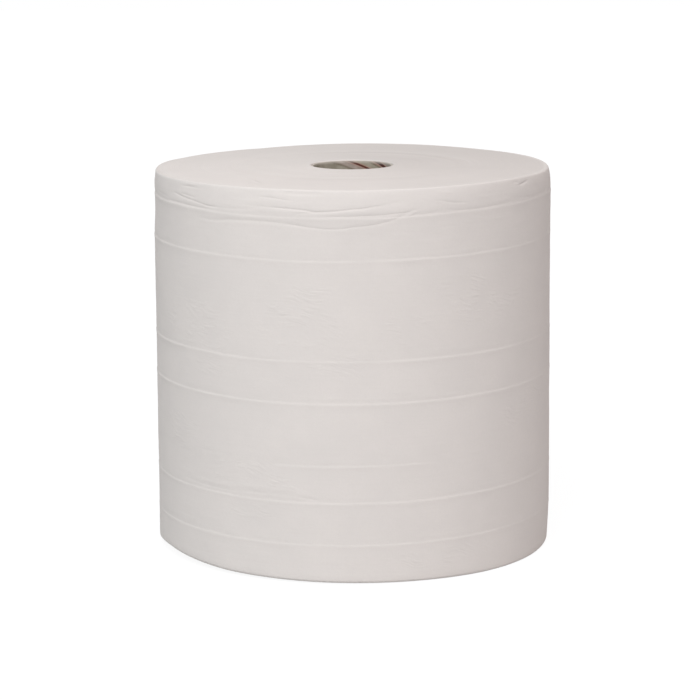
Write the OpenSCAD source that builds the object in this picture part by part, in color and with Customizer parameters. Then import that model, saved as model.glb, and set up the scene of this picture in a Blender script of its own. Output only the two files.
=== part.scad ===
// Large roll of paper towel wound on a cardboard core, standing on its end.
// Millimetres. Origin at the middle of the bottom face, +Z up, front of the roll towards -Y.
// Angles are measured from the front, positive towards +X.

/* [Roll] */
// Height of the roll, which is the width of its paper
roll_h = 371; // [220:1:450]
// Diameter over the outermost turn
roll_d = 386; // [240:1:450]
// Height of the soft shoulder where the outer turns droop over the top edge
shoulder_h = 6; // [3:0.5:14]
// How far the shoulder reaches in from the side, at the front and the back
shoulder_w = 8; // [5:0.5:16]
// How much further it reaches in on the left side, and less on the right
shoulder_spread = 2; // [0:0.5:4.5]
// Radius of the firmer rim round the bottom edge
rim_r = 3; // [1:0.5:8]

/* [Core] */
// Inside diameter of the cardboard core
core_bore_d = 76; // [40:1:110]
// Wall thickness of the core
core_wall = 2; // [1:0.25:6]
// How far each end of the core lies below the paper's end face
core_inset = 0; // [0:0.5:6]

/* [Free end of the sheet] */
// Step where the outermost sheet ends
sheet_step = 0.6; // [0.3:0.1:1.5]
// Angle at which the sheet ends, at the back
sheet_end_angle = 152; // [0:1:359]

/* [Turns on the end faces] */
// Distance from one raised turn to the next
turn_pitch = 5; // [4:0.5:12]
// Width of the sunk line between raised turns
turn_line_w = 0.8; // [0.4:0.1:2]
// Depth of that line
turn_line_depth = 0.5; // [0.2:0.1:1.5]
// Plain paper between the core and the first line
turn_margin = 5; // [2:0.5:12]

/* [Ridges round the side] */
// Height of a ridge above the paper
ridge_h = 0.9; // [0.2:0.1:1.5]
// Width of a ridge
ridge_w = 3.2; // [2:0.2:6]
// How far the ridges rise from the front of the roll to its back
ridge_rise = 3; // [0:0.5:8]

/* [Gathers under the shoulder] */
// Height of the gathered band below the shoulder
gather_band = 38; // [20:1:60]
// Height of the paper bulging over a crease
gather_h = 0.9; // [0.2:0.1:2]
// How far up the bulge fades out
gather_reach = 8; // [5:0.5:14]
// Depth of the crease itself
crease_depth = 0.7; // [0.1:0.1:1.5]
// Half the width of the crease
crease_w = 2.6; // [1.5:0.1:4]

/* [Foot] */
// How far the outer turns have crept up at the foot, on the front's left side
creep_h = 8.5; // [0:0.5:12]
// Width of the outer turns that have crept up
creep_w = 24; // [12:1:40]
// How far the foot is drawn in on the right side
foot_inset = 2.2; // [0:0.1:5]
// Height over which the foot keeps these shapes
foot_h = 44; // [20:1:80]

/* [Hidden] */
$fn = 96;

roll_r = roll_d / 2;
core_r = core_bore_d / 2 + core_wall;
top_face_r = roll_r - shoulder_w - shoulder_spread;
bottom_face_r = roll_r - creep_w;
plain_top = roll_h - shoulder_h - gather_band;
plain_h = plain_top - rim_r;
side_reach = roll_r + ridge_h + gather_h;

// Facets round the roll, and levels in each rounded edge and in the gathered band
side_facets = 90;
edge_levels = 4;
band_levels = 20;
row = side_facets + 1;
cut_extra = 1;
// The rounded edges run this far past the flat end faces, which trim them
face_trim = 0.2;
// Angle over which a ridge or a gather fades out at its ends
end_fade = 9;

// Ridges: share of the plain side's height, first and last angle, strength.
// All but the short one on the front run right round.
ridges = [
    [0.107, -180, 180, 0.7],
    [0.231, -180, 180, 0.9],
    [0.333, -24, 28, 0.7],
    [0.519, -180, 180, 1.0],
    [0.640, -180, 180, 0.8],
    [0.931, -180, 180, 0.9]
];

// Gathers: strength, then the crease as pairs of angle and share of the band below the shoulder
gathers = [
    [0.8, [[-88, 0.61], [-28, 0.62], [-15, 0.69], [-3, 0.77], [6, 0.69], [14, 0.53]]],
    [1.0, [[-27, 0.32], [-15, 0.32], [-10, 0.37], [0, 0.31], [8, 0.18], [14, 0.15]]],
    [0.6, [[-10, 0.47], [0, 0.48], [11, 0.43], [17, 0.35]]],
    [0.9, [[-64, 0.16], [-51, 0.29], [-38, 0.39], [-32, 0.37]]],
    [0.6, [[22, 0.14], [28, 0.23], [34, 0.24]]],
    [0.6, [[27, 0.39], [35, 0.45], [48, 0.39]]],
    [0.5, [[50, 0.31], [60, 0.38], [70, 0.37], [80, 0.31]]],
    [0.5, [[94, 0.46], [108, 0.53], [122, 0.50], [134, 0.39]]],
    [0.5, [[-166, 0.58], [-150, 0.53], [-136, 0.55], [-124, 0.63]]]
];

// Creep of the outer turns round the foot, as pairs of angle and share of creep_h
creep = [[-118, 0], [-100, 0.2], [-84, 0.65], [-70, 1], [-55, 0.78], [-40, 0.48], [-20, 0.27], [5, 0.13], [35, 0]];

// First and last angle between which the foot is drawn in, and the fade at both
foot_span = [40, 135];
foot_fade = 40;

// An angle brought into -180 to 180
function wrapped(a) = a > 180 ? wrapped(a - 360) : a < -180 ? wrapped(a + 360) : a;

// 0 to 1 in a smooth step
function ease(t) = t <= 0 ? 0 : t >= 1 ? 1 : t * t * (3 - 2 * t);

// 1 between two values, fading to 0 at both, and 1 everywhere over a full circle
function span(a, first, last, fade) =
    last - first >= 360 ? 1 : ease((a - first) / fade) * ease((last - a) / fade);

// Height of one ridge at angle a and level z
function ridge_at(r, a, z) =
    r[3] * ridge_h * span(a, r[1], r[2], end_fade)
    * max(0, 1 - abs(z - rim_r - r[0] * plain_h) / (ridge_w / 2));

// Level of a gather's crease at angle a
function crease_z(g, a) = roll_h - shoulder_h - gather_band * lookup(a, g[1]);

// Paper drawn in at a crease and bulging above it, at height d over the crease
function gather_shape(d) =
    gather_h * ease(d / crease_w) * pow(max(0, 1 - max(0, d) / gather_reach), 1.5)
    - crease_depth * max(0, 1 - abs(d) / crease_w);

function gather_at(g, a, z) =
    g[0] * span(a, g[1][0][0], g[1][len(g[1]) - 1][0], end_fade) * gather_shape(z - crease_z(g, a));

function total(v, i = 0) = i < len(v) ? v[i] + total(v, i + 1) : 0;

// All ridges and gathers at one place. They fade out over the shoulder.
function relief(a, z) =
    ease((roll_h - z) / shoulder_h)
    * total(concat([for (r = ridges) ridge_at(r, a, z)], [for (g = gathers) gather_at(g, a, z)]));

// Height that the turns have crept up, less for those further in
function creep_at(a, z, inset) =
    creep_h * lookup(a, creep) * ease(1 - z / foot_h) * (1 - inset / creep_w);

// How far the side is drawn in near the foot
function foot_at(a, z) =
    foot_inset * span(a, foot_span[0], foot_span[1], foot_fade) * pow(max(0, 1 - z / foot_h), 1.4);

// How far a ridge has risen at angle a: nothing near either edge
function rise_at(a, z) =
    ridge_rise * (1 - cos(a)) / 2 * ease((z - rim_r) / foot_h) * ease((roll_h - shoulder_h - z) / foot_h);

// How far the shoulder reaches in at angle a
function shoulder_at(a) = shoulder_w - shoulder_spread * sin(a);

// Levels of the outline as [level, inset, share of the shoulder's reach that is added to the inset]
foot_levels = [[-face_trim, creep_w, 0]];
rim_levels = [
    for (i = [0 : edge_levels]) let (t = 90 * i / edge_levels)
        [rim_r * (1 - cos(t)) - face_trim, rim_r * (1 - sin(t)), 0]
];
ridge_levels = [
    for (r = ridges) for (s = [-1, 0, 1]) [rim_r + r[0] * plain_h + s * ridge_w / 2, 0, 0]
];
gather_levels = [
    for (i = [0 : band_levels - 1]) [plain_top + gather_band * i / band_levels, 0, 0]
];
shoulder_levels = [
    for (i = [0 : edge_levels]) let (t = 90 * i / edge_levels)
        [roll_h + face_trim - shoulder_h * (1 - sin(t)), 0, 1 - cos(t)]
];
levels = concat(foot_levels, rim_levels, ridge_levels, gather_levels, shoulder_levels);

// One point of the wound surface: i facets round from the free end, on one level.
// The radius shrinks by the sheet's step in one turn, so that the outline is a true spiral.
function wrap_point(i, level) =
    let (
        a = wrapped(sheet_end_angle + 360 * i / side_facets),
        z = level[0],
        r = roll_r - level[1] - shoulder_at(a) * level[2] - sheet_step * i / side_facets
            - foot_at(a, z) + relief(a, z)
    )
    [r * sin(a), -r * cos(a), z + creep_at(a, z, level[1]) + rise_at(a, z)];

// The outside of the wound paper, from the free end of the outermost sheet once round to it
module wound_side() {
    points = [for (level = levels) for (i = [0 : side_facets]) wrap_point(i, level)];
    sides = [
        for (k = [0 : len(levels) - 2]) for (i = [0 : side_facets]) let (j = (i + 1) % row)
            each [
                [k * row + i, (k + 1) * row + j, k * row + j],
                [k * row + i, (k + 1) * row + i, (k + 1) * row + j]
            ]
    ];
    bottom = [for (i = [0 : side_facets]) i];
    top = [for (i = [side_facets : -1 : 0]) (len(levels) - 1) * row + i];
    polyhedron(points, concat([bottom], sides, [top]), convexity = 4);
}

// Half of one turn's line, as a flat half ring on the +Y or -Y side
module half_turn(r, upper) {
    intersection() {
        difference() {
            circle(r + turn_line_w / 2);
            circle(r - turn_line_w / 2);
        }
        translate([-roll_d, upper ? 0 : -roll_d])
            square([2 * roll_d, roll_d]);
    }
}

// The line between raised turns: half rings on two centres, which join into one spiral
module turn_spiral(face_r) {
    first_r = core_r + turn_margin;
    turns = floor((face_r - turn_line_w - first_r) / turn_pitch);
    for (k = [0 : turns - 1]) {
        half_turn(first_r + k * turn_pitch, true);
        translate([turn_pitch / 2, 0])
            half_turn(first_r + (k + 0.5) * turn_pitch, false);
    }
}

// The two flat end faces, with the line between the turns sunk in both, and the hole for the core
module wound_ends() {
    difference() {
        cylinder(h = roll_h, r = side_reach + cut_extra);
        translate([0, 0, -cut_extra])
            cylinder(h = roll_h + 2 * cut_extra, r = core_r);
        translate([0, 0, roll_h - turn_line_depth])
            linear_extrude(turn_line_depth + cut_extra)
                turn_spiral(top_face_r);
        translate([0, 0, -cut_extra])
            linear_extrude(turn_line_depth + cut_extra)
                turn_spiral(bottom_face_r);
    }
}

module paper_roll() {
    color("whitesmoke")
        intersection() {
            wound_side();
            wound_ends();
        }
}

module core() {
    color("tan")
        translate([0, 0, core_inset])
            difference() {
                cylinder(h = roll_h - 2 * core_inset, r = core_r);
                translate([0, 0, -cut_extra])
                    cylinder(h = roll_h - 2 * core_inset + 2 * cut_extra, d = core_bore_d);
            }
}

paper_roll();
core();
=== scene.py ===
import math

import bpy
import numpy as np
from mathutils import Euler, Matrix, Vector, noise


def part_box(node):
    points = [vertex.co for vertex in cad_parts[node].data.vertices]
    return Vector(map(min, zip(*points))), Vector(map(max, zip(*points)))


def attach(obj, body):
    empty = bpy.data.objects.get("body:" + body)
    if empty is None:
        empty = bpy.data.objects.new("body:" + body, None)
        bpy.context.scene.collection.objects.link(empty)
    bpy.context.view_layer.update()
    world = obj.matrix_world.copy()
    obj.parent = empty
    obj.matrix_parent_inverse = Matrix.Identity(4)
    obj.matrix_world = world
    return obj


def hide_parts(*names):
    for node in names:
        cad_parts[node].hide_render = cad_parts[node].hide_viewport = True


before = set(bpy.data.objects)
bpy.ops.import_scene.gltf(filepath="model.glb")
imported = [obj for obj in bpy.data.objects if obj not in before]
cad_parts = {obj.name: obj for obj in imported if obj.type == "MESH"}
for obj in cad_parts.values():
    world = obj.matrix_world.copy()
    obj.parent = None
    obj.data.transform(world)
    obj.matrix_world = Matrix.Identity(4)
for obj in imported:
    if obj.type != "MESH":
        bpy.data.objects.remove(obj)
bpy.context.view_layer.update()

# Camera. It looks a little down on the roll from straight in front, with a long lens.
camera_pitch = 0.17985
camera_yaw = -0.00113
camera_roll = -0.00644
camera_place = (0, -2.8895, 0.7128)
camera_turn = Euler((math.pi / 2 - camera_pitch, 0, -camera_yaw)).to_matrix()
camera_turn = camera_turn @ Matrix.Rotation(camera_roll, 3, "Z")
bpy.ops.object.select_all(action="DESELECT")
bpy.ops.object.camera_add(location=camera_place, rotation=camera_turn.to_euler())
camera = bpy.context.object
camera.data.sensor_width = 36
camera.data.lens = 153.54
bpy.context.scene.camera = camera


# Core. A tube of grey-brown board, wound from glued plies that run round it as a helix, so the
# edges of the inmost ply meet in a fine helical seam. The tissue is wound straight onto it, and
# has swelled about a millimetre past its cut top end.
def pick(piece, part, test):
    """Selects the vertices, edges or faces whose corners all pass the test, in edit mode."""
    bpy.ops.object.mode_set(mode="EDIT")
    bpy.ops.mesh.select_mode(type=part)
    bpy.ops.mesh.select_all(action="DESELECT")
    bpy.ops.object.mode_set(mode="OBJECT")
    mesh = piece.data
    corners = mesh.vertices
    if part == "VERT":
        for corner in corners:
            corner.select = test(corner.co)
    else:
        for item in mesh.edges if part == "EDGE" else mesh.polygons:
            item.select = all(test(corners[i].co) for i in item.vertices)
    bpy.ops.object.mode_set(mode="EDIT")


def add_section(name, low, high):
    """A standing rectangle at y = 0, from the corner low to the corner high, as (radius, level)."""
    bpy.ops.object.select_all(action="DESELECT")
    middle = ((low[0] + high[0]) / 2, 0, (low[1] + high[1]) / 2)
    bpy.ops.mesh.primitive_plane_add(size=1, location=middle, rotation=(math.pi / 2, 0, 0))
    piece = bpy.context.object
    piece.name = name
    piece.data.name = name
    piece.scale = (high[0] - low[0], high[1] - low[1], 1)
    bpy.ops.object.transform_apply(location=True, rotation=True, scale=True)
    return piece


def round_corner(piece, radius, level, size, steps):
    """Rounds one corner of a section."""
    pick(piece, "VERT", lambda p: abs(p.x - radius) < 1e-5 and abs(p.z - level) < 1e-5)
    bpy.ops.mesh.bevel(offset=size, segments=steps, affect="VERTICES")


def keep_outline(piece):
    """Removes the section's face and leaves its outline."""
    pick(piece, "FACE", lambda p: True)
    bpy.ops.mesh.delete(type="ONLY_FACE")


def cut_rows(piece, places, along, test):
    """Cuts the outline's edges that pass the test, at each place along one axis."""
    for place in places:
        pick(piece, "EDGE", test)
        bpy.ops.mesh.bisect(plane_co=along * place, plane_no=along)


def spin_round(piece, steps):
    """Spins the outline a quarter round the roll's axis, and that three times more, into one skin."""
    pick(piece, "EDGE", lambda p: True)
    bpy.ops.mesh.spin(steps=steps // 4, angle=math.pi / 2, center=(0, 0, 0), axis=(0, 0, 1))
    bpy.ops.mesh.select_all(action="SELECT")
    bpy.ops.mesh.spin(steps=3, angle=1.5 * math.pi, center=(0, 0, 0), axis=(0, 0, 1), dupli=True)
    bpy.ops.mesh.select_all(action="SELECT")
    bpy.ops.mesh.remove_doubles(threshold=1e-6)
    bpy.ops.mesh.normals_make_consistent(inside=False)
    bpy.ops.object.mode_set(mode="OBJECT")


axis_x = Vector((1, 0, 0))
axis_z = Vector((0, 0, 1))
core_low, core_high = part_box("core")
bore_r = 0.038
board_gap = 0.00015
board_r = core_high.x - board_gap
tissue_swell = 0.0010
board_top = core_high.z - tissue_swell
board_edge_r = 0.0003
board_rows = 160
board_steps = 72
core = add_section("cardboard_core", (bore_r, core_low.z), (board_r, board_top))
for corner_r in (bore_r, board_r):
    for corner_z in (core_low.z, board_top):
        round_corner(core, corner_r, corner_z, board_edge_r, 2)
keep_outline(core)
board_levels = np.linspace(core_low.z, board_top, board_rows + 2)[1:-1]
cut_rows(core, board_levels, axis_z, lambda p: True)
spin_round(core, board_steps)

# The seam starts as a straight groove at one angle, and the twist makes it a helix
seam_angle = math.radians(65)
seam_way = (math.cos(seam_angle), math.sin(seam_angle))
seam_half_w = 0.0004
seam_depth = 0.00045


def on_seam(p, spare):
    """Whether a point of the bore lies on the seam's straight line."""
    across = p.y * seam_way[0] - p.x * seam_way[1]
    out = p.x * seam_way[0] + p.y * seam_way[1]
    return abs(across) < 1e-5 and 0 < out < bore_r + spare


pick(core, "EDGE", lambda p: on_seam(p, 1e-5))
bpy.ops.mesh.bevel(offset=seam_half_w, segments=2, affect="EDGES")
pick(core, "VERT", lambda p: on_seam(p, 1e-4))
bpy.ops.transform.translate(value=(seam_depth * seam_way[0], seam_depth * seam_way[1], 0))
bpy.ops.object.mode_set(mode="OBJECT")
helix_lead = 0.090
twist = core.modifiers.new("helix", "SIMPLE_DEFORM")
twist.deform_method = "TWIST"
twist.deform_axis = "Z"
twist.angle = 2 * math.pi * (board_top - core_low.z) / helix_lead
bpy.ops.object.modifier_apply(modifier="helix")
bpy.ops.object.shade_smooth_by_angle(angle=math.radians(40))


def shade(tree, kind, inputs=None, **settings):
    """Adds one shader node, sets it, and wires or sets its inputs."""
    item = tree.nodes.new(kind)
    for key, value in settings.items():
        setattr(item, key, value)
    for key, value in (inputs or {}).items():
        if isinstance(value, bpy.types.NodeSocket):
            tree.links.new(value, item.inputs[key])
        else:
            item.inputs[key].default_value = value
    return item


def sums(tree, operation, first, second=0.0, third=0.0):
    """One Math node's result."""
    values = {0: first, 1: second, 2: third}
    return shade(tree, "ShaderNodeMath", values, operation=operation).outputs[0]


def plus(tree, value, more, share):
    """A value with a share of another added to it."""
    return sums(tree, "ADD", value, sums(tree, "MULTIPLY", more, share))


def vectors(tree, operation, *values):
    """One Vector Math node's outputs."""
    return shade(tree, "ShaderNodeVectorMath", dict(enumerate(values)), operation=operation).outputs


def clouds(tree, place, scale, detail, roughness=0.5, distortion=0.0):
    """A noise texture's grey value."""
    inputs = {"Vector": place, "Scale": scale, "Detail": detail}
    inputs.update({"Roughness": roughness, "Distortion": distortion})
    return shade(tree, "ShaderNodeTexNoise", inputs).outputs["Fac"]


def band(tree, value, edges, levels):
    """A colour ramp over a value, with a grey level or a colour at each of its edges."""
    ramp = shade(tree, "ShaderNodeValToRGB", {"Fac": value})
    stops = ramp.color_ramp.elements
    while len(stops) < len(edges):
        stops.new(1.0)
    for stop, place, level in zip(stops, edges, levels):
        stop.position = place
        stop.color = (level, level, level, 1) if isinstance(level, (int, float)) else (*level, 1)
    return ramp.outputs["Color"]


def blended(tree, share, first, second, kind="MIX"):
    """Two colours mixed by share."""
    mix = shade(tree, "ShaderNodeMix", data_type="RGBA", blend_type=kind)
    colours = [s for s in mix.inputs if s.type == "RGBA"]
    factor = [s for s in mix.inputs if s.type == "VALUE" and s.enabled][0]
    for socket, value in ((factor, share), (colours[0], first), (colours[1], second)):
        if isinstance(value, bpy.types.NodeSocket):
            tree.links.new(value, socket)
        elif socket.type == "RGBA":
            socket.default_value = (*value, 1)
        else:
            socket.default_value = value
    return [s for s in mix.outputs if s.type == "RGBA"][0]


def group_of(name, inputs, outputs):
    """An empty shader node group with its inputs and outputs."""
    tree = bpy.data.node_groups.new(name, "ShaderNodeTree")
    for way, sockets in (("INPUT", inputs), ("OUTPUT", outputs)):
        for label, kind in sockets:
            tree.interface.new_socket(name=label, in_out=way, socket_type="NodeSocket" + kind)
    return tree, tree.nodes.new("NodeGroupInput"), tree.nodes.new("NodeGroupOutput")


def finish_material(name):
    """A new node material, its tree, its Principled node and its Object coordinates."""
    material = bpy.data.materials.new(name)
    material.use_nodes = True
    tree = material.node_tree
    skin = tree.nodes["Principled BSDF"]
    place = shade(tree, "ShaderNodeTexCoord").outputs["Object"]
    return material, tree, skin, place


# Fibres, as in the board and the tissue: short flecks, a soft mottle and a felted surface
fibre, fibre_in, fibre_out = group_of(
    "paper_fibre",
    (("Place", "Vector"), ("Fleck Size", "Float"), ("Mottle Size", "Float")),
    (("Fleck", "Float"), ("Mottle", "Float"), ("Height", "Float")),
)
fibre_place = fibre_in.outputs["Place"]
fleck_scale = sums(fibre, "DIVIDE", 1.0, fibre_in.outputs["Fleck Size"])
mottle_scale = sums(fibre, "DIVIDE", 1.0, fibre_in.outputs["Mottle Size"])
felt_scale = sums(fibre, "MULTIPLY", fleck_scale, 2.2)
flecks = clouds(fibre, fibre_place, fleck_scale, 3.0, 0.6, 0.6)
mottles = clouds(fibre, fibre_place, mottle_scale, 4.0, 0.55)
felt = clouds(fibre, fibre_place, felt_scale, 2.0)
felt_height = plus(fibre, sums(fibre, "MULTIPLY", flecks, 0.6), felt, 0.4)
for label, value in (("Fleck", flecks), ("Mottle", mottles), ("Height", felt_height)):
    fibre.links.new(value, fibre_out.inputs[label])


def use_group(tree, group, inputs):
    """Places a node group in a material."""
    return shade(tree, "ShaderNodeGroup", inputs, node_tree=group).outputs


# Board. Grey-brown recycled fibre, in tones that change across the ply, with two dark stripes of
# ink that run round with it. The cut ends are paler.
board, tree, skin, place = finish_material("core_board")
split = shade(tree, "ShaderNodeSeparateXYZ", {"Vector": place}).outputs
round_share = sums(tree, "DIVIDE", sums(tree, "ARCTAN2", split["Y"], split["X"]), 2 * math.pi)
rise_share = sums(tree, "DIVIDE", split["Z"], helix_lead)
ply_share = sums(tree, "ADD", sums(tree, "SUBTRACT", round_share, rise_share), 10.0)
ply_share = sums(tree, "FRACT", ply_share)
fibres = use_group(tree, fibre, {"Place": place, "Fleck Size": 0.0016, "Mottle Size": 0.008})
unevenness = sums(tree, "SUBTRACT", fibres["Mottle"], 0.5)
grey_brown = (0.345, 0.295, 0.25)
olive = (0.44, 0.40, 0.33)
pale_olive = (0.46, 0.41, 0.33)
pink_grey = (0.52, 0.43, 0.39)
dark_streak = (0.23, 0.19, 0.14)
fleck_grey = (0.47, 0.42, 0.35)
# Tones across the ply, as shares of its width, with two narrow dark streaks among them
ply_tones = (
    (0.0, grey_brown),
    (0.052, pink_grey),
    (0.060, dark_streak),
    (0.078, dark_streak),
    (0.090, pale_olive),
    (0.145, pale_olive),
    (0.16, pink_grey),
    (0.21, pink_grey),
    (0.228, dark_streak),
    (0.25, olive),
    (0.36, olive),
    (0.46, grey_brown),
    (1.0, grey_brown),
)
tone_place = sums(tree, "ADD", ply_share, sums(tree, "MULTIPLY", unevenness, 0.03))
ground = band(tree, tone_place, [p for p, tone in ply_tones], [tone for p, tone in ply_tones])
mottle = band(tree, fibres["Mottle"], (0.36, 0.66), ((0.74, 0.73, 0.69), (1.0, 1.0, 1.0)))
ground = blended(tree, 1.0, ground, mottle, "MULTIPLY")
fleck_share = band(tree, fibres["Fleck"], (0.40, 0.75), (0.0, 0.35))
colour = blended(tree, fleck_share, ground, fleck_grey)
# Stripes: middle and half width as shares of the ply's width, and the colour of the ink, which has
# bled a little into the board beside it
stripes = ((0.1528, 0.0118, (0.100, 0.030, 0.018)), (0.0300, 0.0185, (0.055, 0.011, 0.007)))
bled_ink = (0.560, 0.330, 0.270)
for middle, half, ink_colour in stripes:
    off = sums(tree, "ABSOLUTE", sums(tree, "SUBTRACT", ply_share, middle))
    off = sums(tree, "ADD", off, sums(tree, "MULTIPLY", unevenness, 0.006))
    halo = band(tree, off, (half, half * 2.4), (0.75, 0.0))
    colour = blended(tree, halo, colour, bled_ink)
    ink = band(tree, off, (half * 0.75, half * 1.15), (0.97, 0.0))
    colour = blended(tree, ink, colour, ink_colour)
cut_board = (0.62, 0.57, 0.51)
cut_levels = (0.0001, 0.0003, board_top - 0.0003, board_top - 0.0001)
cut_end = band(tree, split["Z"], cut_levels, (1.0, 0.0, 0.0, 1.0))
colour = blended(tree, cut_end, colour, cut_board)
tree.links.new(colour, skin.inputs["Base Color"])
board_gloss = band(tree, fibres["Mottle"], (0.3, 0.7), (0.78, 0.9))
tree.links.new(board_gloss, skin.inputs["Roughness"])
skin.inputs["Specular IOR Level"].default_value = 0.3
bump = shade(
    tree, "ShaderNodeBump", {"Height": fibres["Height"], "Strength": 0.7, "Distance": 0.0003}
)
tree.links.new(bump.outputs["Normal"], skin.inputs["Normal"])
core.data.materials.append(board)
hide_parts("core")
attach(core, "root")

# Wound paper. One endless sheet of soft creped tissue, wound tight into a thick roll. The outer
# turns droop over the top edge in a soft shoulder and gather in creases under it; the winder has
# left fine ridges round the side, and the foot has crept up a little on the left.
roll_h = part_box("paper_roll")[1].z
roll_r = 0.193
hole_r = 0.040
shoulder = 0.004
rim = 0.003
hole_edge = 0.0008
roll_steps = 360
roll = add_section("wound_paper", (hole_r, 0), (roll_r, roll_h))
round_corner(roll, roll_r, roll_h, shoulder, 7)
round_corner(roll, roll_r, 0, rim, 5)
round_corner(roll, hole_r, roll_h, hole_edge, 2)
round_corner(roll, hole_r, 0, hole_edge, 2)
keep_outline(roll)

# Ridges: level at the front and first and last angle, then height. Levels and heights are in
# millimetres, and angles in degrees from the front, positive to the right.
ridges = (
    (37.4, -180, 180, 0.19),
    (77.3, -180, 180, 0.23),
    (112.4, -25, 24, 0.22),
    (171.0, -180, 180, 0.28),
    (210.5, -180, 180, 0.23),
    (304.1, -180, 180, 0.25),
    (343.7, -180, 180, 0.27),
)
# All rise towards the back, by the same line of (angle, rise) points
ridge_rise = (
    (-180, 4.0), (-120, 3.4), (-78, 2.6), (-54, 1.6), (-42, 0.8), (-30, 0.1), (-15, 0), (0, 0.2),
    (12, 0.4), (24, 1.1), (36, 1.9), (48, 2.4), (60, 3.2), (72, 3.9), (90, 4.3), (180, 4.0),
)
# They stand out most on the left and at the back, by (angle, share) points
ridge_share = (
    (-180, 2.0), (-130, 1.9), (-105, 1.6), (-78, 1.55), (-54, 1.3), (-36, 0.95), (-20, 0.75),
    (0, 0.95), (30, 1.05), (42, 0.95), (54, 0.7), (64, 0.62), (76, 0.7), (95, 1.0), (115, 1.7),
    (180, 2.0),
)
# The highest ridge is pulled about by the gathers: (angle, rise) points beyond the others' rise
high_rise = (
    (-130, 0), (-100, 0.9), (-78, 0.4), (-72, 0.4), (-66, 1.0), (-60, 1.45), (-54, 1.15),
    (-48, 0.9), (-42, 0.2), (-36, 0), (10, 0), (20, 0.4), (30, 0.8), (70, 0.8), (90, 0),
)
# Where a ridge is fainter: its level at the front, the middle angle, half the width, share lost
faint_spots = (
    (171.0, -60, 7, 0.15),
    (210.5, -12, 4, 0.5),
    (210.5, 4, 6, 0.5),
    (304.1, 3, 5, 0.5),
    (343.7, 42, 9, 0.45),
)

# Rows of points up the side: close together at each ridge and in the gathers, wider elsewhere
gathers_from = 318
side_levels = []
level = 3.0
while level < 364.5:
    side_levels.append(level / 1000)
    near = min(abs(level - ridge[0]) for ridge in ridges)
    step = min(max(0.45 * (near - 1.2), 0.7), 4.8)
    level += min(step, 1.0) if level > gathers_from else step
cut_rows(
    roll,
    side_levels,
    axis_z,
    lambda p: p.x > roll_r - 1e-5 and rim - 1e-5 < p.z < roll_h - shoulder + 1e-5,
)

# Radii between bands of turns that stand a little above or below their neighbours on the end
# faces. Each has a row of points on both sides, and more rows follow towards the outer edge.
turn_bands = (46.5, 55, 63, 71, 84, 96, 104, 117, 128, 139, 149, 158, 166, 174)
top_rows = sorted(r + s for r in turn_bands for s in (-0.5, 0.5))
top_rows += [43.0, 90.0, 110.5, 133.5, 177.5, 180.0, 182.0, 183.5, 185.0, 186.5, 188.0]
cut_rows(roll, [r / 1000 for r in top_rows], axis_x, lambda p: p.z > roll_h - 1e-5)
foot_rows = [r + s for r in turn_bands[1::2] for s in (-0.5, 0.5)] + [182.0, 186.0]
cut_rows(roll, [r / 1000 for r in foot_rows], axis_x, lambda p: p.z < 1e-5)
cut_rows(roll, (0.12, 0.25), axis_z, lambda p: p.x < hole_r + 1e-5)
spin_round(roll, roll_steps)


def ease(t):
    """0 to 1 in a smooth step."""
    t = np.clip(t, 0, 1)
    return t * t * (3 - 2 * t)


def measured(piece):
    """A piece's vertices in millimetres, and the angle, radius and level of each."""
    co = np.empty(len(piece.data.vertices) * 3, np.float32)
    piece.data.vertices.foreach_get("co", co)
    co = co.reshape(-1, 3).astype(float) * 1000
    angle = np.degrees(np.arctan2(co[:, 0], -co[:, 1]))
    return co, angle, np.hypot(co[:, 0], co[:, 1]), co[:, 2].copy()


def through(points, angle):
    """Value at each angle of the line through (angle, value) points."""
    return np.interp(angle, [p[0] for p in points], [p[1] for p in points])


def put_back(piece, co):
    """Moves a piece's vertices to new places in millimetres."""
    piece.data.vertices.foreach_set("co", (co / 1000).astype(np.float32).ravel())
    piece.data.update()


def followed(points, angle, fade):
    """Level of the line through (angle, level) points, smoothed, and 1 between its ends."""
    first, last = points[0][0], points[-1][0]
    turned = first - fade + (angle - first + fade) % 360
    grid = np.arange(first - 6, last + 6, 0.25)
    line = through(points, grid)
    window = np.hanning(11)
    line = np.convolve(np.pad(line, 5, mode="edge"), window / window.sum(), "valid")
    inside = ease((turned - first) / fade + 0.5) * ease((last - turned) / fade + 0.5)
    return np.interp(turned, grid, line), inside


def round_line(points, angle):
    """The line through (angle, value) points that run right round, smoothed."""
    degrees = np.arange(-360, 361)
    line = through(points, (degrees + 180) % 360 - 180)
    window = np.hanning(17)
    return np.interp(angle, degrees, np.convolve(line, window / window.sum(), "same"))


# From here the roll is shaped in millimetres and degrees
full_h = roll_h * 1000
full_r = roll_r * 1000
# First its body settles. The top edge droops, by (angle, droop) points
edge_droop = (
    (-180, 0.5), (-160, 1.5), (-145, 2.8), (-130, 2.8), (-118, 2.5), (-103, 1.3), (-90, 1.4),
    (-75, 1.7), (-69, 1.3), (-60, 0.8), (-34, 0.8), (-18, 0.8), (0, 1.4), (11, 1.0), (23, 0.65),
    (35, 0.3), (45, 0.1), (57, 0.1), (70, 1.1), (85, 1.4), (110, 1.0), (136, 1.4), (160, 0.6),
    (180, 0.5),
)
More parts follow.
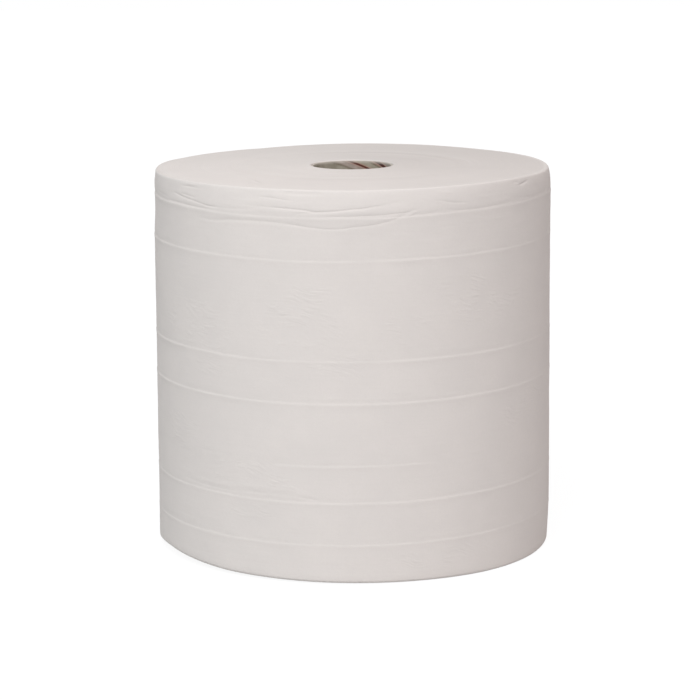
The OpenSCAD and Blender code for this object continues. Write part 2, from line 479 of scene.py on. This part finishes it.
# The paper under that edge leans in, by (angle, lean) points
edge_lean = (
    (-180, 1.9), (-60, 1.9), (-35, 2.4), (-15, 2.6), (20, 2.5), (45, 2.3), (90, 2.4), (130, 2.1),
    (180, 1.9),
)
co, angle, radius, z = measured(roll)
to_right = np.sin(np.radians(angle))
right_only = np.clip(to_right, 0, 1)
droop = round_line(edge_droop, angle)
droop_reach = 30 + 22 * to_right
edge_r = 2.0 - 0.3 * to_right
lean = round_line(edge_lean, angle)
lean_from = 350 - 5 * right_only
base_r = shoulder * 1000
drop = full_h - z
side = radius > full_r - base_r - 0.01
arc = side & (drop < base_r)
gathered = side & (z > gathers_from) & ~arc
side_top = full_h - droop - edge_r
gather_h = full_h - base_r - gathers_from
pressed = gathers_from + (z - gathers_from) * (side_top - gathers_from) / gather_h
z = np.where(gathered, pressed, z)
z = np.where(arc, full_h - droop - drop * edge_r / base_r, z)
lean_share = np.clip((z - lean_from) / (full_h - droop - lean_from), 0, 1)
leaning = lean * lean_share ** (1.3 + 2.2 * right_only)
inset = np.where(arc, (full_r - radius) * edge_r / base_r, np.where(side, full_r - radius, 0))
inset = inset + np.where(side, leaning, 0)
radius = np.where(side, full_r - inset, radius)
flat = (~side) & (drop < 0.01)
still_r = 140
top_edge = full_r - lean - edge_r
spread = still_r + (radius - still_r) * (top_edge - still_r) / (full_r - base_r - still_r)
radius = np.where(flat & (radius > still_r), spread, radius)
drooping = np.clip((radius - top_edge + droop_reach) / droop_reach, 0, 1) ** 1.6
z = np.where(flat, z - droop * drooping, z)

# The sheet's free end is a small step, at the back. The roll's outline is a spiral of one turn.
free_end = 152
free_step = 0.5
turned = (angle - free_end) % 360
outer = ease((radius - (full_r - 30)) / 18)
last_column = turned > 360 - 1.4
angle = np.where(last_column & (outer > 0.99), free_end - 0.12, angle)
radius = radius - free_step * turned / 360 * outer

# The rows rise with the ridges, but not near either end face
middle_part = ease(z / 44) * ease((full_h - 10 - z) / 44)
z = z + np.where(side, through(ridge_rise, angle) * middle_part, 0)

# The foot has crept up on the left, by (angle, lift) points, and is drawn in on the right
foot_h = 44
foot_inset = 2.2
creep_w = 24
creep = (
    (-118, 0), (-100, 1.6), (-90, 3.6), (-83, 5.6), (-76, 7.7), (-69, 8.7), (-61, 7.8), (-55, 6.7),
    (-45, 4.8), (-37, 3.6), (-30, 3.0), (-20, 2.3), (-10, 1.6), (5, 1.1), (20, 0.7), (34, 0.2),
    (40, 0),
)
lift, lifted = followed(creep, angle, 4)
lift = np.where(lifted > 0, lift, 0)
z = z + lift * ease(1 - z / foot_h) * np.clip(1 - (full_r - radius) / creep_w, 0, 1)
drawn_in = foot_inset * ease((angle - 40) / 40) * ease((135 - angle) / 40)
radius = radius - np.where(side, drawn_in * np.clip(1 - z / foot_h, 0, 1) ** 1.4, 0)
turn = np.radians(angle)
co = np.stack([radius * np.sin(turn), -radius * np.cos(turn), z], 1)
put_back(roll, co)

# Creases: (angle, level) points, depth, half width, height of the paper bulging above, its reach,
# and the same below. One of negative depth stands proud.
creases = (
    (((-23, 352.8), (-21.2, 352.6), (-17.3, 352.2), (-12.3, 351.0), (-11.2, 349.5), (-7.3, 349.9),
      (-4, 350.8), (0, 352.3), (2.8, 352.7), (6.1, 354.7)), 0.8, 1.0, 1.0, 7, 0.5, 3),
    (((-31, 353.8), (-24, 353.2)), 0.25, 1.2, 0.3, 5, 0.15, 4),
    (((6.5, 354.8), (9.4, 356.6), (12.8, 358.6)), 0.3, 1.0, 0.35, 6, 0.15, 4),
    (((-7, 345.9), (-0.2, 345.9), (2.8, 346.3), (5.6, 346.4), (9.4, 346.8), (11.1, 347.7),
      (15, 348.4)), 0.45, 1.0, 0.35, 4, 0.2, 3),
    (((14.6, 348.0), (15.6, 349.0), (17, 350.6)), 0.5, 0.8, 0.1, 3, 0, 3),
    (((15.4, 345.4), (16.4, 347.3), (17.4, 349.3)), -0.8, 0.8, 0, 3, 0, 3),
    (((16.5, 345.2), (18.1, 347.4)), 0.4, 0.7, 0, 3, 0.1, 3),
    (((18.5, 346.2), (22.5, 346.8), (24.2, 348.6), (25, 349.6)), 0.25, 1.0, 0.2, 4, 0.1, 3),
    (((-15.7, 337.2), (-11.8, 335.4), (-7.3, 334.2), (-3.5, 334.3), (-1.8, 334.7), (0, 336.0),
      (2.8, 336.7), (5.6, 337.9), (7.2, 338.8), (10, 340.8), (12.2, 343.1), (13.3, 344.9),
      (14.6, 347.2)), 0.5, 1.1, 0.45, 5, 0.25, 4),
    (((-47, 337.5), (-41.8, 336.9), (-35.7, 338.9), (-28.4, 339.7), (-25, 339.7), (-20, 338.8),
      (-15, 337.0)), 0.6, 1.3, 0.3, 5, 0.2, 4),
    (((-60, 356.4), (-54.6, 354.0), (-50.7, 352.6), (-44, 349.4), (-40.5, 349.6)),
      0.7, 1.0, 0.6, 5, 0.3, 4),
    (((-63, 348.9), (-55, 348.0), (-48, 347.0), (-43, 346.6)), 0.4, 0.9, 0, 4, 0.1, 3),
    (((-56, 357.4), (-50, 355.7)), 0.5, 0.9, 0.3, 3, 0.1, 3),
    (((-76, 352.6), (-70, 352.0), (-65, 351.2)), 0.35, 1.0, 0.2, 4, 0.1, 3),
    (((-38.4, 349.6), (-32, 349.9), (-27, 352)), 0.25, 1.4, 0.25, 5, 0.15, 4),
    (((24.5, 358.0), (26.7, 356.3), (28.9, 355.0), (32.5, 354.2)), 0.4, 0.9, 0.35, 4, 0.2, 3),
    (((28, 348.2), (33, 347.4), (38, 347.4), (42, 348.2), (45.5, 349.0), (50.5, 350.0)),
      0.3, 1.0, 0.3, 5, 0.2, 4),
    (((52, 353), (60, 350.5), (70, 350.9), (78, 353)), 0.25, 1.3, 0.25, 5, 0.15, 4),
    (((-105, 352), (-96, 349), (-88, 348.6), (-80, 349.8)), 0.35, 1.3, 0.35, 5, 0.2, 4),
    (((96, 347), (108, 345), (122, 345.8), (134, 350)), 0.7, 1.3, 0.7, 5, 0.4, 4),
    (((-165, 343), (-150, 345), (-136, 344), (-124, 341)), 0.7, 1.3, 0.7, 5, 0.4, 4),
    (((168, 356), (180, 352), (192, 351), (202, 353.5)), 0.8, 1.2, 0.8, 5, 0.5, 4),
    (((-15.5, 348.2), (-11.5, 348.8)), 0.45, 0.7, 0, 3, 0.1, 3),
    (((-25.5, 362.0), (-22.3, 361.4), (-18, 359.8)), 0.55, 0.8, 0.2, 3, 0.15, 3),
    (((-20.5, 366.8), (-17.5, 366.5), (-14.8, 366.2), (-9.2, 366.0)), 3.6, 0.7, 0, 3, 0, 3),
    (((-9, 366.2), (-2, 366.4)), 0.7, 0.6, 0, 3, 0, 3),
    (((-16, 357.2), (-11.5, 361.5)), 0.25, 0.8, 0, 3, 0.1, 3),
    (((-56, 366.4), (-53.7, 366.6), (-50, 367.0), (-47.4, 367.7)), -3.4, 0.9, 0, 3, 0, 3),
    (((-55, 365.0), (-52.9, 365.1), (-50, 365.5), (-47.6, 366.2)), 1.8, 0.7, 0, 3, 0, 3),
    (((-45.9, 367.0), (-43.4, 367.4)), 1.8, 0.6, 0, 3, 0, 3),
    (((22, 366.4), (25, 365.4), (28.6, 364.4)), -0.5, 0.6, 0, 3, 0, 3),
    (((51.2, 368.6), (53.8, 366.4)), 5.0, 0.8, 0.1, 3, 0.1, 3),
    (((54.8, 363.8), (57, 364.9), (59.4, 366.2)), 1.8, 0.7, 0.1, 3, 0.1, 3),
)


def crease_line(points, angle):
    """Level of a crease at each angle, and 1 between its ends. A short one fades out sooner."""
    long = points[-1][0] - points[0][0] > 7
    return followed(points, angle, 5 if long else 1.6)


# The mesh is made finer along the narrow creases
co, angle, radius, z = measured(roll)
polygons = roll.data.polygons
first_corner = np.empty(len(polygons), np.int32)
polygons.foreach_get("loop_start", first_corner)
corner_vertex = np.empty(len(roll.data.loops), np.int32)
roll.data.loops.foreach_get("vertex_index", corner_vertex)
corner = corner_vertex[first_corner]
near_crease = np.zeros(len(polygons), bool)
on_side = radius[corner] > 175
for points, depth, half, *_ in creases:
    path, inside = crease_line(points, angle[corner])
    if abs(depth) >= 0.4 and half < 1.2:
        near_crease |= on_side & (inside > 0.02) & (np.abs(z[corner] - path) < half * 2)
bpy.ops.object.mode_set(mode="EDIT")
bpy.ops.mesh.select_mode(type="FACE")
bpy.ops.mesh.select_all(action="DESELECT")
bpy.ops.object.mode_set(mode="OBJECT")
polygons.foreach_set("select", near_crease)
bpy.ops.object.mode_set(mode="EDIT")
bpy.ops.mesh.subdivide(number_cuts=1)
bpy.ops.object.mode_set(mode="OBJECT")


def soft_line(away, wide):
    """1 on a line, fading out on both sides of it."""
    return np.exp(-((away / wide) ** 2))


# The relief moves the side in and out. Each ridge is a sharp fold with a longer slope below it
# and a faint groove above, wanders a little and is stronger in some places than in others.
co, angle, radius, z = measured(roll)
side = radius > 177
to_right = np.sin(np.radians(angle))
relief = np.zeros(len(co))
degrees = np.arange(-180, 181)
for front_level, first, last, height in ridges:
    wander = np.interp(angle, degrees, [0.5 * noise.noise((a / 23, front_level, 0)) for a in degrees])
    rise = through(ridge_rise, angle) * min(1, front_level / 50)
    if front_level > gathers_from:
        rise += through(high_rise, angle)
    d = z - (front_level + rise + wander)
    here = 1.0 if last - first >= 360 else ease((angle - first) / 8) * ease((last - angle) / 8)
    waver = np.interp(angle, degrees, [noise.noise((a / 7, front_level, 5)) for a in degrees])
    strength = 0.85 + 0.5 * waver
    strength *= through(ridge_share, angle) ** min(1, front_level / 130)
    for ridge_level, middle, wide, lost in faint_spots:
        if ridge_level == front_level:
            strength *= 1 - lost * ease(1.5 - np.abs(angle - middle) / wide)
    fold = soft_line(d + 0.8, np.where(d < -0.8, 2.8, 0.95))
    fold -= 0.35 * soft_line(d - 1.2, np.where(d < 1.2, 0.95, 2.4))
    relief += height * here * strength * fold
# Each crease is a groove with the paper bulging above and below it
for points, depth, half, lip, reach, lap, lap_reach in creases:
    path, inside = crease_line(points, angle)
    d = z - path
    above = np.clip(d / reach, 0, None)
    below = np.clip(-d / lap_reach, 0, None)
    bulge = lip * above * np.exp(1 - above) * (above < 6) + lap * below * np.exp(1 - below)
    relief += inside * (0.38 * bulge - 0.42 * depth * soft_line(d, half))
# Wavy fold over the ridge near the foot, on the left
wavy_fold = ((-56, 87.5), (-50, 85.6), (-40, 84.3), (-30, 86.2), (-22, 87), (-16, 85), (-11, 82))
path, inside = followed(wavy_fold, angle, 5)
d = z - path
relief += inside * (0.34 * soft_line(d - 0.9, 1.3) - 0.2 * soft_line(d + 1.3, 1.2))
# Slow dents all over, in three sizes
dents = np.array(
    [
        0.30 * noise.noise((p[0] / 55, p[1] / 55, p[2] / 40))
        + 0.12 * noise.noise((p[0] / 22 + 7, p[1] / 22, p[2] / 9))
        + 0.05 * noise.noise((p[0] / 11 + 3, p[1] / 11, p[2] / 4))
        if s
        else 0
        for p, s in zip(co, side)
    ]
)
# The outer turns are pinched in on the left, under the gathers
pinched = ease((z - 306) / 26) * (1 - 0.75 * ease((z - 348) / 12))
relief -= 1.1 * pinched * ease((-62 - angle) / 14) * ease((angle + 118) / 14)
# All of it fades out over the shoulder and the rim
over_shoulder = ease((full_h - 1.5 - z) / 6)
over_rim = ease(z / 6)
relief = np.where(side, (relief + dents) * over_shoulder * over_rim, 0)

# The end faces: bands of turns a little up or down, and slow waves
rng = np.random.default_rng(7)
band_rise = np.concatenate([[0.0], rng.uniform(-0.09, 0.09, len(turn_bands))])
rise_here = band_rise[np.searchsorted(turn_bands, radius)]
past_hole = radius > hole_r * 1000 + 1
from_hole = ease((radius - 41) / 6)
end_face = radius < full_r - round_line(edge_lean, angle) - 2.0 + 0.3 * to_right + 0.02
on_top = end_face & (z > full_h - 5) & past_hole
on_foot = (z < 0.3) & past_hole & (radius < 181)
waves = np.array(
    [
        0.28 * noise.noise((p[0] / 48, p[1] / 48, 2.0))
        + 0.08 * noise.noise((p[0] / 17, p[1] / 17, 9.0))
        if t
        else 0
        for p, t in zip(co, on_top)
    ]
)
z = z + np.where(on_top, (rise_here + waves - 0.3) * from_hole, 0)
z = z + np.where(on_foot, (rise_here + 0.1) * from_hole, 0)
share = (radius + relief) / radius
co = np.stack([co[:, 0] * share, co[:, 1] * share, z], 1)
put_back(roll, co)

# Where the outer sheet is crinkled, from 0 to 1: (angle, level, half width, half height)
patches = (
    (-52, 236, 16, 22), (-15, 253, 13, 34), (15, 239, 8, 14), (40, 264, 18, 24), (-30, 107, 12, 8),
    (-30, 66, 8, 8), (-45, 205, 9, 16), (-5, 206, 9, 14), (25, 22, 16, 9), (-30, 95, 14, 9),
    (60, 150, 14, 20), (-60, 130, 12, 18),
)
crinkled = np.zeros(len(co))
for middle, level, wide, high in patches:
    away = ((angle - middle) / wide) ** 2 + ((z - level) / high) ** 2
    crinkled = np.maximum(crinkled, ease(1.4 - away))
crinkle_share = roll.data.attributes.new("crinkled", "FLOAT", "POINT")
crinkle_share.data.foreach_set("value", crinkled.astype(np.float32))
bpy.ops.object.select_all(action="DESELECT")
roll.select_set(True)
bpy.context.view_layer.objects.active = roll
bpy.ops.object.shade_smooth()

# Place on the sheet before it was wound, counted from its free end
unroll, unroll_in, unroll_out = group_of(
    "unrolled", (("Place", "Vector"),), (("Sheet", "Vector"), ("Share", "Float"), ("Radius", "Float"))
)
to_free_end = math.radians(180 - (free_end - 90))
unturned = {"Vector": unroll_in.outputs["Place"], "Angle": to_free_end}
unturned = shade(unroll, "ShaderNodeVectorRotate", unturned, rotation_type="Z_AXIS").outputs[0]
parts = shade(unroll, "ShaderNodeSeparateXYZ", {"Vector": unturned}).outputs
turn_angle = sums(unroll, "ARCTAN2", parts["Y"], parts["X"])
flat_part = shade(unroll, "ShaderNodeCombineXYZ", {"X": parts["X"], "Y": parts["Y"]}).outputs[0]
distance = vectors(unroll, "LENGTH", flat_part)["Value"]
length_round = sums(unroll, "MULTIPLY", turn_angle, roll_r)
sheet_place = shade(unroll, "ShaderNodeCombineXYZ", {"X": length_round, "Y": parts["Z"], "Z": 0.0})
unroll.links.new(sheet_place.outputs[0], unroll_out.inputs["Sheet"])
unroll.links.new(sums(unroll, "DIVIDE", turn_angle, 2 * math.pi), unroll_out.inputs["Share"])
unroll.links.new(distance, unroll_out.inputs["Radius"])


def white_tissue(tree, fibres, darker, lighter):
    """A colour between two whites, by the tissue's soft mottle."""
    return blended(tree, band(tree, fibres["Mottle"], (0.3, 0.7), (0.0, 1.0)), darker, lighter)


# Sheet face. White tissue with a fine crepe across it, and fine crinkles where it is slack
sheet, tree, skin, place = finish_material("tissue_sheet")
laid = use_group(tree, unroll, {"Place": place})
fibres = use_group(tree, fibre, {"Place": place, "Fleck Size": 0.0022, "Mottle Size": 0.045})
tint = white_tissue(tree, fibres, (0.722, 0.680, 0.652), (0.748, 0.703, 0.672))
fleck_share = band(tree, fibres["Fleck"], (0.35, 0.7), (0.0, 0.35))
tint = blended(tree, fleck_share, tint, (0.700, 0.655, 0.625))
tree.links.new(tint, skin.inputs["Base Color"])
tissue_gloss = band(tree, fibres["Fleck"], (0.3, 0.7), (0.86, 0.95))
tree.links.new(tissue_gloss, skin.inputs["Roughness"])
skin.inputs["Specular IOR Level"].default_value = 0.15
crepe_place = shade(tree, "ShaderNodeMapping", {"Vector": laid["Sheet"], "Scale": (1400, 160, 1)})
crepe = clouds(tree, crepe_place.outputs[0], 1.0, 2.0)
long_place = shade(tree, "ShaderNodeMapping", {"Vector": laid["Sheet"], "Scale": (12, 260, 1)})
long_lines = clouds(tree, long_place.outputs[0], 1.0, 2.0)
sway = {"Vector": laid["Sheet"], "Scale": 22.0, "Detail": 1.0}
sway = shade(tree, "ShaderNodeTexNoise", sway).outputs["Color"]
sway = vectors(tree, "MULTIPLY", sway, (0.022, 0.022, 0))[0]
swayed = vectors(tree, "ADD", laid["Sheet"], sway)[0]
slack_turn = (0, 0, math.radians(-8))
slack_size = (0.013, 0.0034, 1)
slack_place = {"Vector": swayed, "Rotation": slack_turn, "Scale": slack_size}
slack_place = shade(tree, "ShaderNodeMapping", slack_place, vector_type="TEXTURE").outputs[0]
slack = band(tree, clouds(tree, slack_place, 1.0, 1.5), (0.42, 0.70), (0.0, 1.0))
patchy = band(tree, clouds(tree, laid["Sheet"], 45.0, 2.0), (0.38, 0.68), (0.0, 1.0))
where = shade(tree, "ShaderNodeAttribute", attribute_name="crinkled").outputs["Fac"]
slack_share = sums(tree, "ADD", sums(tree, "MULTIPLY", where, 0.23), 0.03)
slack_share = sums(tree, "MULTIPLY", slack_share, patchy)
height = sums(tree, "MULTIPLY", slack, slack_share)
height = plus(tree, height, long_lines, 0.10)
height = plus(tree, height, crepe, 0.045)
height = plus(tree, height, fibres["Height"], 0.04)
bump = shade(tree, "ShaderNodeBump", {"Height": height, "Strength": 1.0, "Distance": 0.0008})
tree.links.new(bump.outputs["Normal"], skin.inputs["Normal"])
roll.data.materials.append(sheet)

# Sheet edges. On the end faces the turns show as fine rings, which are one long spiral. The knife
# that cut the roll to length has dragged them a little outwards and along the turns.
edges, tree, skin, place = finish_material("tissue_edges")
laid = use_group(tree, unroll, {"Place": place})
fibres = use_group(tree, fibre, {"Place": place, "Fleck Size": 0.0022, "Mottle Size": 0.045})
turn_pitch = 0.0005
spiral = sums(tree, "MULTIPLY", laid["Share"], turn_pitch)
spiral = sums(tree, "SUBTRACT", laid["Radius"], spiral)
rings = []
for scale, detail in ((1600.0, 2.0), (230.0, 3.0)):
    ring_inputs = {"W": spiral, "Scale": scale, "Detail": detail}
    ring = shade(tree, "ShaderNodeTexNoise", ring_inputs, noise_dimensions="1D")
    rings.append(ring.outputs["Fac"])
fine_rings, broad_rings = rings
tint = white_tissue(tree, fibres, (0.724, 0.682, 0.654), (0.751, 0.705, 0.676))
broad_share = band(tree, broad_rings, (0.35, 0.65), (0.0, 0.35))
tint = blended(tree, broad_share, tint, (0.715, 0.672, 0.645))
# The low parts of the fine rings are made darker: painted shade in the grooves between the turns.
groove_shade_share = band(tree, fine_rings, (0.35, 0.6), (0.30, 0.0))
tint = blended(tree, groove_shade_share, tint, (0.66, 0.62, 0.59))
tree.links.new(tint, skin.inputs["Base Color"])
edge_gloss = band(tree, fibres["Fleck"], (0.3, 0.7), (0.9, 0.97))
tree.links.new(edge_gloss, skin.inputs["Roughness"])
skin.inputs["Specular IOR Level"].default_value = 0.12
height = plus(tree, sums(tree, "MULTIPLY", fine_rings, 0.16), broad_rings, 0.35)
height = plus(tree, height, fibres["Height"], 0.10)
# Two short puckers on the top face beside the edge, on the left: first and last point in metres,
# and strength
puckers = (
    ((-0.101, -0.098), (-0.079, -0.150), 1.8),
    ((-0.103, -0.120), (-0.080, -0.168), 1.2),
)
pucker_half_w = 0.0032
level = shade(tree, "ShaderNodeSeparateXYZ", {"Vector": place}).outputs["Z"]
on_top_face = sums(tree, "GREATER_THAN", level, roll_h / 2)
waver = sums(tree, "MULTIPLY", sums(tree, "SUBTRACT", fibres["Mottle"], 0.5), 0.016)
for first, last, deep in puckers:
    long = math.dist(first, last)
    along = ((last[0] - first[0]) / long, (last[1] - first[1]) / long, 0)
    across = (-along[1], along[0], 0)
    from_first = vectors(tree, "SUBTRACT", place, (*first, 0))[0]
    far = vectors(tree, "DOT_PRODUCT", from_first, along)["Value"]
    off = vectors(tree, "DOT_PRODUCT", from_first, across)["Value"]
    off = sums(tree, "ABSOLUTE", sums(tree, "ADD", off, waver))
    off = sums(tree, "DIVIDE", off, pucker_half_w)
    fold = band(tree, off, (0.0, 0.4, 1.0), (1.0, 0.5, 0.0))
    ends = band(tree, sums(tree, "DIVIDE", far, long), (0.0, 0.3, 0.75, 1.0), (0.0, 1.0, 1.0, 0.0))
    fold = sums(tree, "MULTIPLY", sums(tree, "MULTIPLY", fold, ends), on_top_face)
    height = plus(tree, height, fold, deep)
bump = shade(tree, "ShaderNodeBump", {"Height": height, "Strength": 0.6, "Distance": 0.0006})
# Way and strength of the drag
drag_angle = math.radians(44)
drag_share = 0.15
outwards = vectors(tree, "NORMALIZE", vectors(tree, "MULTIPLY", place, (1, 1, 0))[0])[0]
dragged = {"Vector": outwards, "Angle": drag_angle}
dragged = shade(tree, "ShaderNodeVectorRotate", dragged, rotation_type="Z_AXIS").outputs[0]
dragged = shade(
    tree,
    "ShaderNodeVectorTransform",
    {"Vector": dragged},
    vector_type="VECTOR",
    convert_from="OBJECT",
    convert_to="WORLD",
).outputs[0]
dragged = shade(tree, "ShaderNodeVectorMath", {0: dragged, "Scale": drag_share}, operation="SCALE")
leaning = vectors(tree, "ADD", bump.outputs["Normal"], dragged.outputs[0])[0]
tree.links.new(vectors(tree, "NORMALIZE", leaning)[0], skin.inputs["Normal"])
roll.data.materials.append(edges)


def of_faces(piece, name):
    """The middle or the normal of each face of a piece."""
    values = np.empty(len(piece.data.polygons) * 3, np.float32)
    piece.data.polygons.foreach_get(name, values)
    return values.reshape(-1, 3)


# The level faces of both ends and all faces in the hole show the sheet's edges
middles = of_faces(roll, "center") * 1000
face_r = np.hypot(middles[:, 0], middles[:, 1])
is_end = (np.abs(of_faces(roll, "normal")[:, 2]) > 0.93) & (face_r < 186)
is_end |= face_r < 60
roll.data.polygons.foreach_set("material_index", is_end.astype(np.int32))
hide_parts("paper_roll")
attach(roll, "root")


# Floor. A wide pale floor that looks white to the camera and keeps the roll's soft shadow.
def seen_share(tree):
    """1 where the camera looks, straight, in gloss or through glass, and 0 for other light."""
    rays = shade(tree, "ShaderNodeLightPath").outputs
    seen = sums(tree, "MAXIMUM", rays["Is Glossy Ray"], rays["Is Transmission Ray"])
    return sums(tree, "MAXIMUM", rays["Is Camera Ray"], seen)


bpy.ops.object.select_all(action="DESELECT")
bpy.ops.mesh.primitive_circle_add(vertices=96, radius=8, fill_type="NGON", location=(0, 0, 0))
floor = bpy.context.object
floor.name = "floor"
floor_white, tree, skin, place = finish_material("floor_white")
tree.nodes.remove(skin)
plain = shade(tree, "ShaderNodeBsdfDiffuse", {"Color": (0.62, 0.62, 0.62, 1)})
shown = shade(tree, "ShaderNodeBsdfDiffuse", {"Color": (0.12, 0.12, 0.12, 1)})
glow = shade(tree, "ShaderNodeEmission", {"Color": (1, 1, 1, 1), "Strength": 0.92})
shown = shade(tree, "ShaderNodeAddShader", {0: shown.outputs[0], 1: glow.outputs[0]})
surface = {0: seen_share(tree), 1: plain.outputs[0], 2: shown.outputs[0]}
surface = shade(tree, "ShaderNodeMixShader", surface)
tree.links.new(surface.outputs[0], tree.nodes["Material Output"].inputs["Surface"])
floor.data.materials.append(floor_white)

# Light. Two large soft lamps from the front, high and a little to the left, one far and one near.
# The pale room is a little cool on the left, and warmer on the right and behind the roll.
sun_height = 49
sun_turn = (math.radians(90 - sun_height), 0, math.radians(-8))
bpy.ops.object.light_add(type="SUN", rotation=sun_turn)
lamp = bpy.context.object
lamp.data.energy = 1.40
lamp.data.angle = math.radians(45)
near_height = 42
near_place = (-0.324, -1.298, 1.404)
near_turn = (math.radians(90 - near_height), 0, math.radians(-14))
bpy.ops.object.light_add(type="AREA", location=near_place, rotation=near_turn)
lamp = bpy.context.object
lamp.data.shape = "DISK"
lamp.data.size = 1.2
lamp.data.energy = 6.43
lamp.visible_camera = False
room = bpy.data.worlds.new("room")
room.use_nodes = True
bpy.context.scene.world = room
tree = room.node_tree
way = shade(tree, "ShaderNodeTexCoord").outputs["Generated"]
parts = shade(tree, "ShaderNodeSeparateXYZ", {"Vector": way}).outputs
room_light = (0.501, 0.491, 0.497)
for part, change in (("X", (0.029, -0.032, -0.049)), ("Y", (0.022, 0.005, -0.009))):
    room_light = vectors(tree, "MULTIPLY_ADD", parts[part], change, room_light)[0]
seen_light = blended(tree, seen_share(tree), room_light, (1.0, 1.0, 1.0))
tree.links.new(seen_light, tree.nodes["Background"].inputs["Color"])
bpy.context.scene.view_settings.view_transform = "Standard"
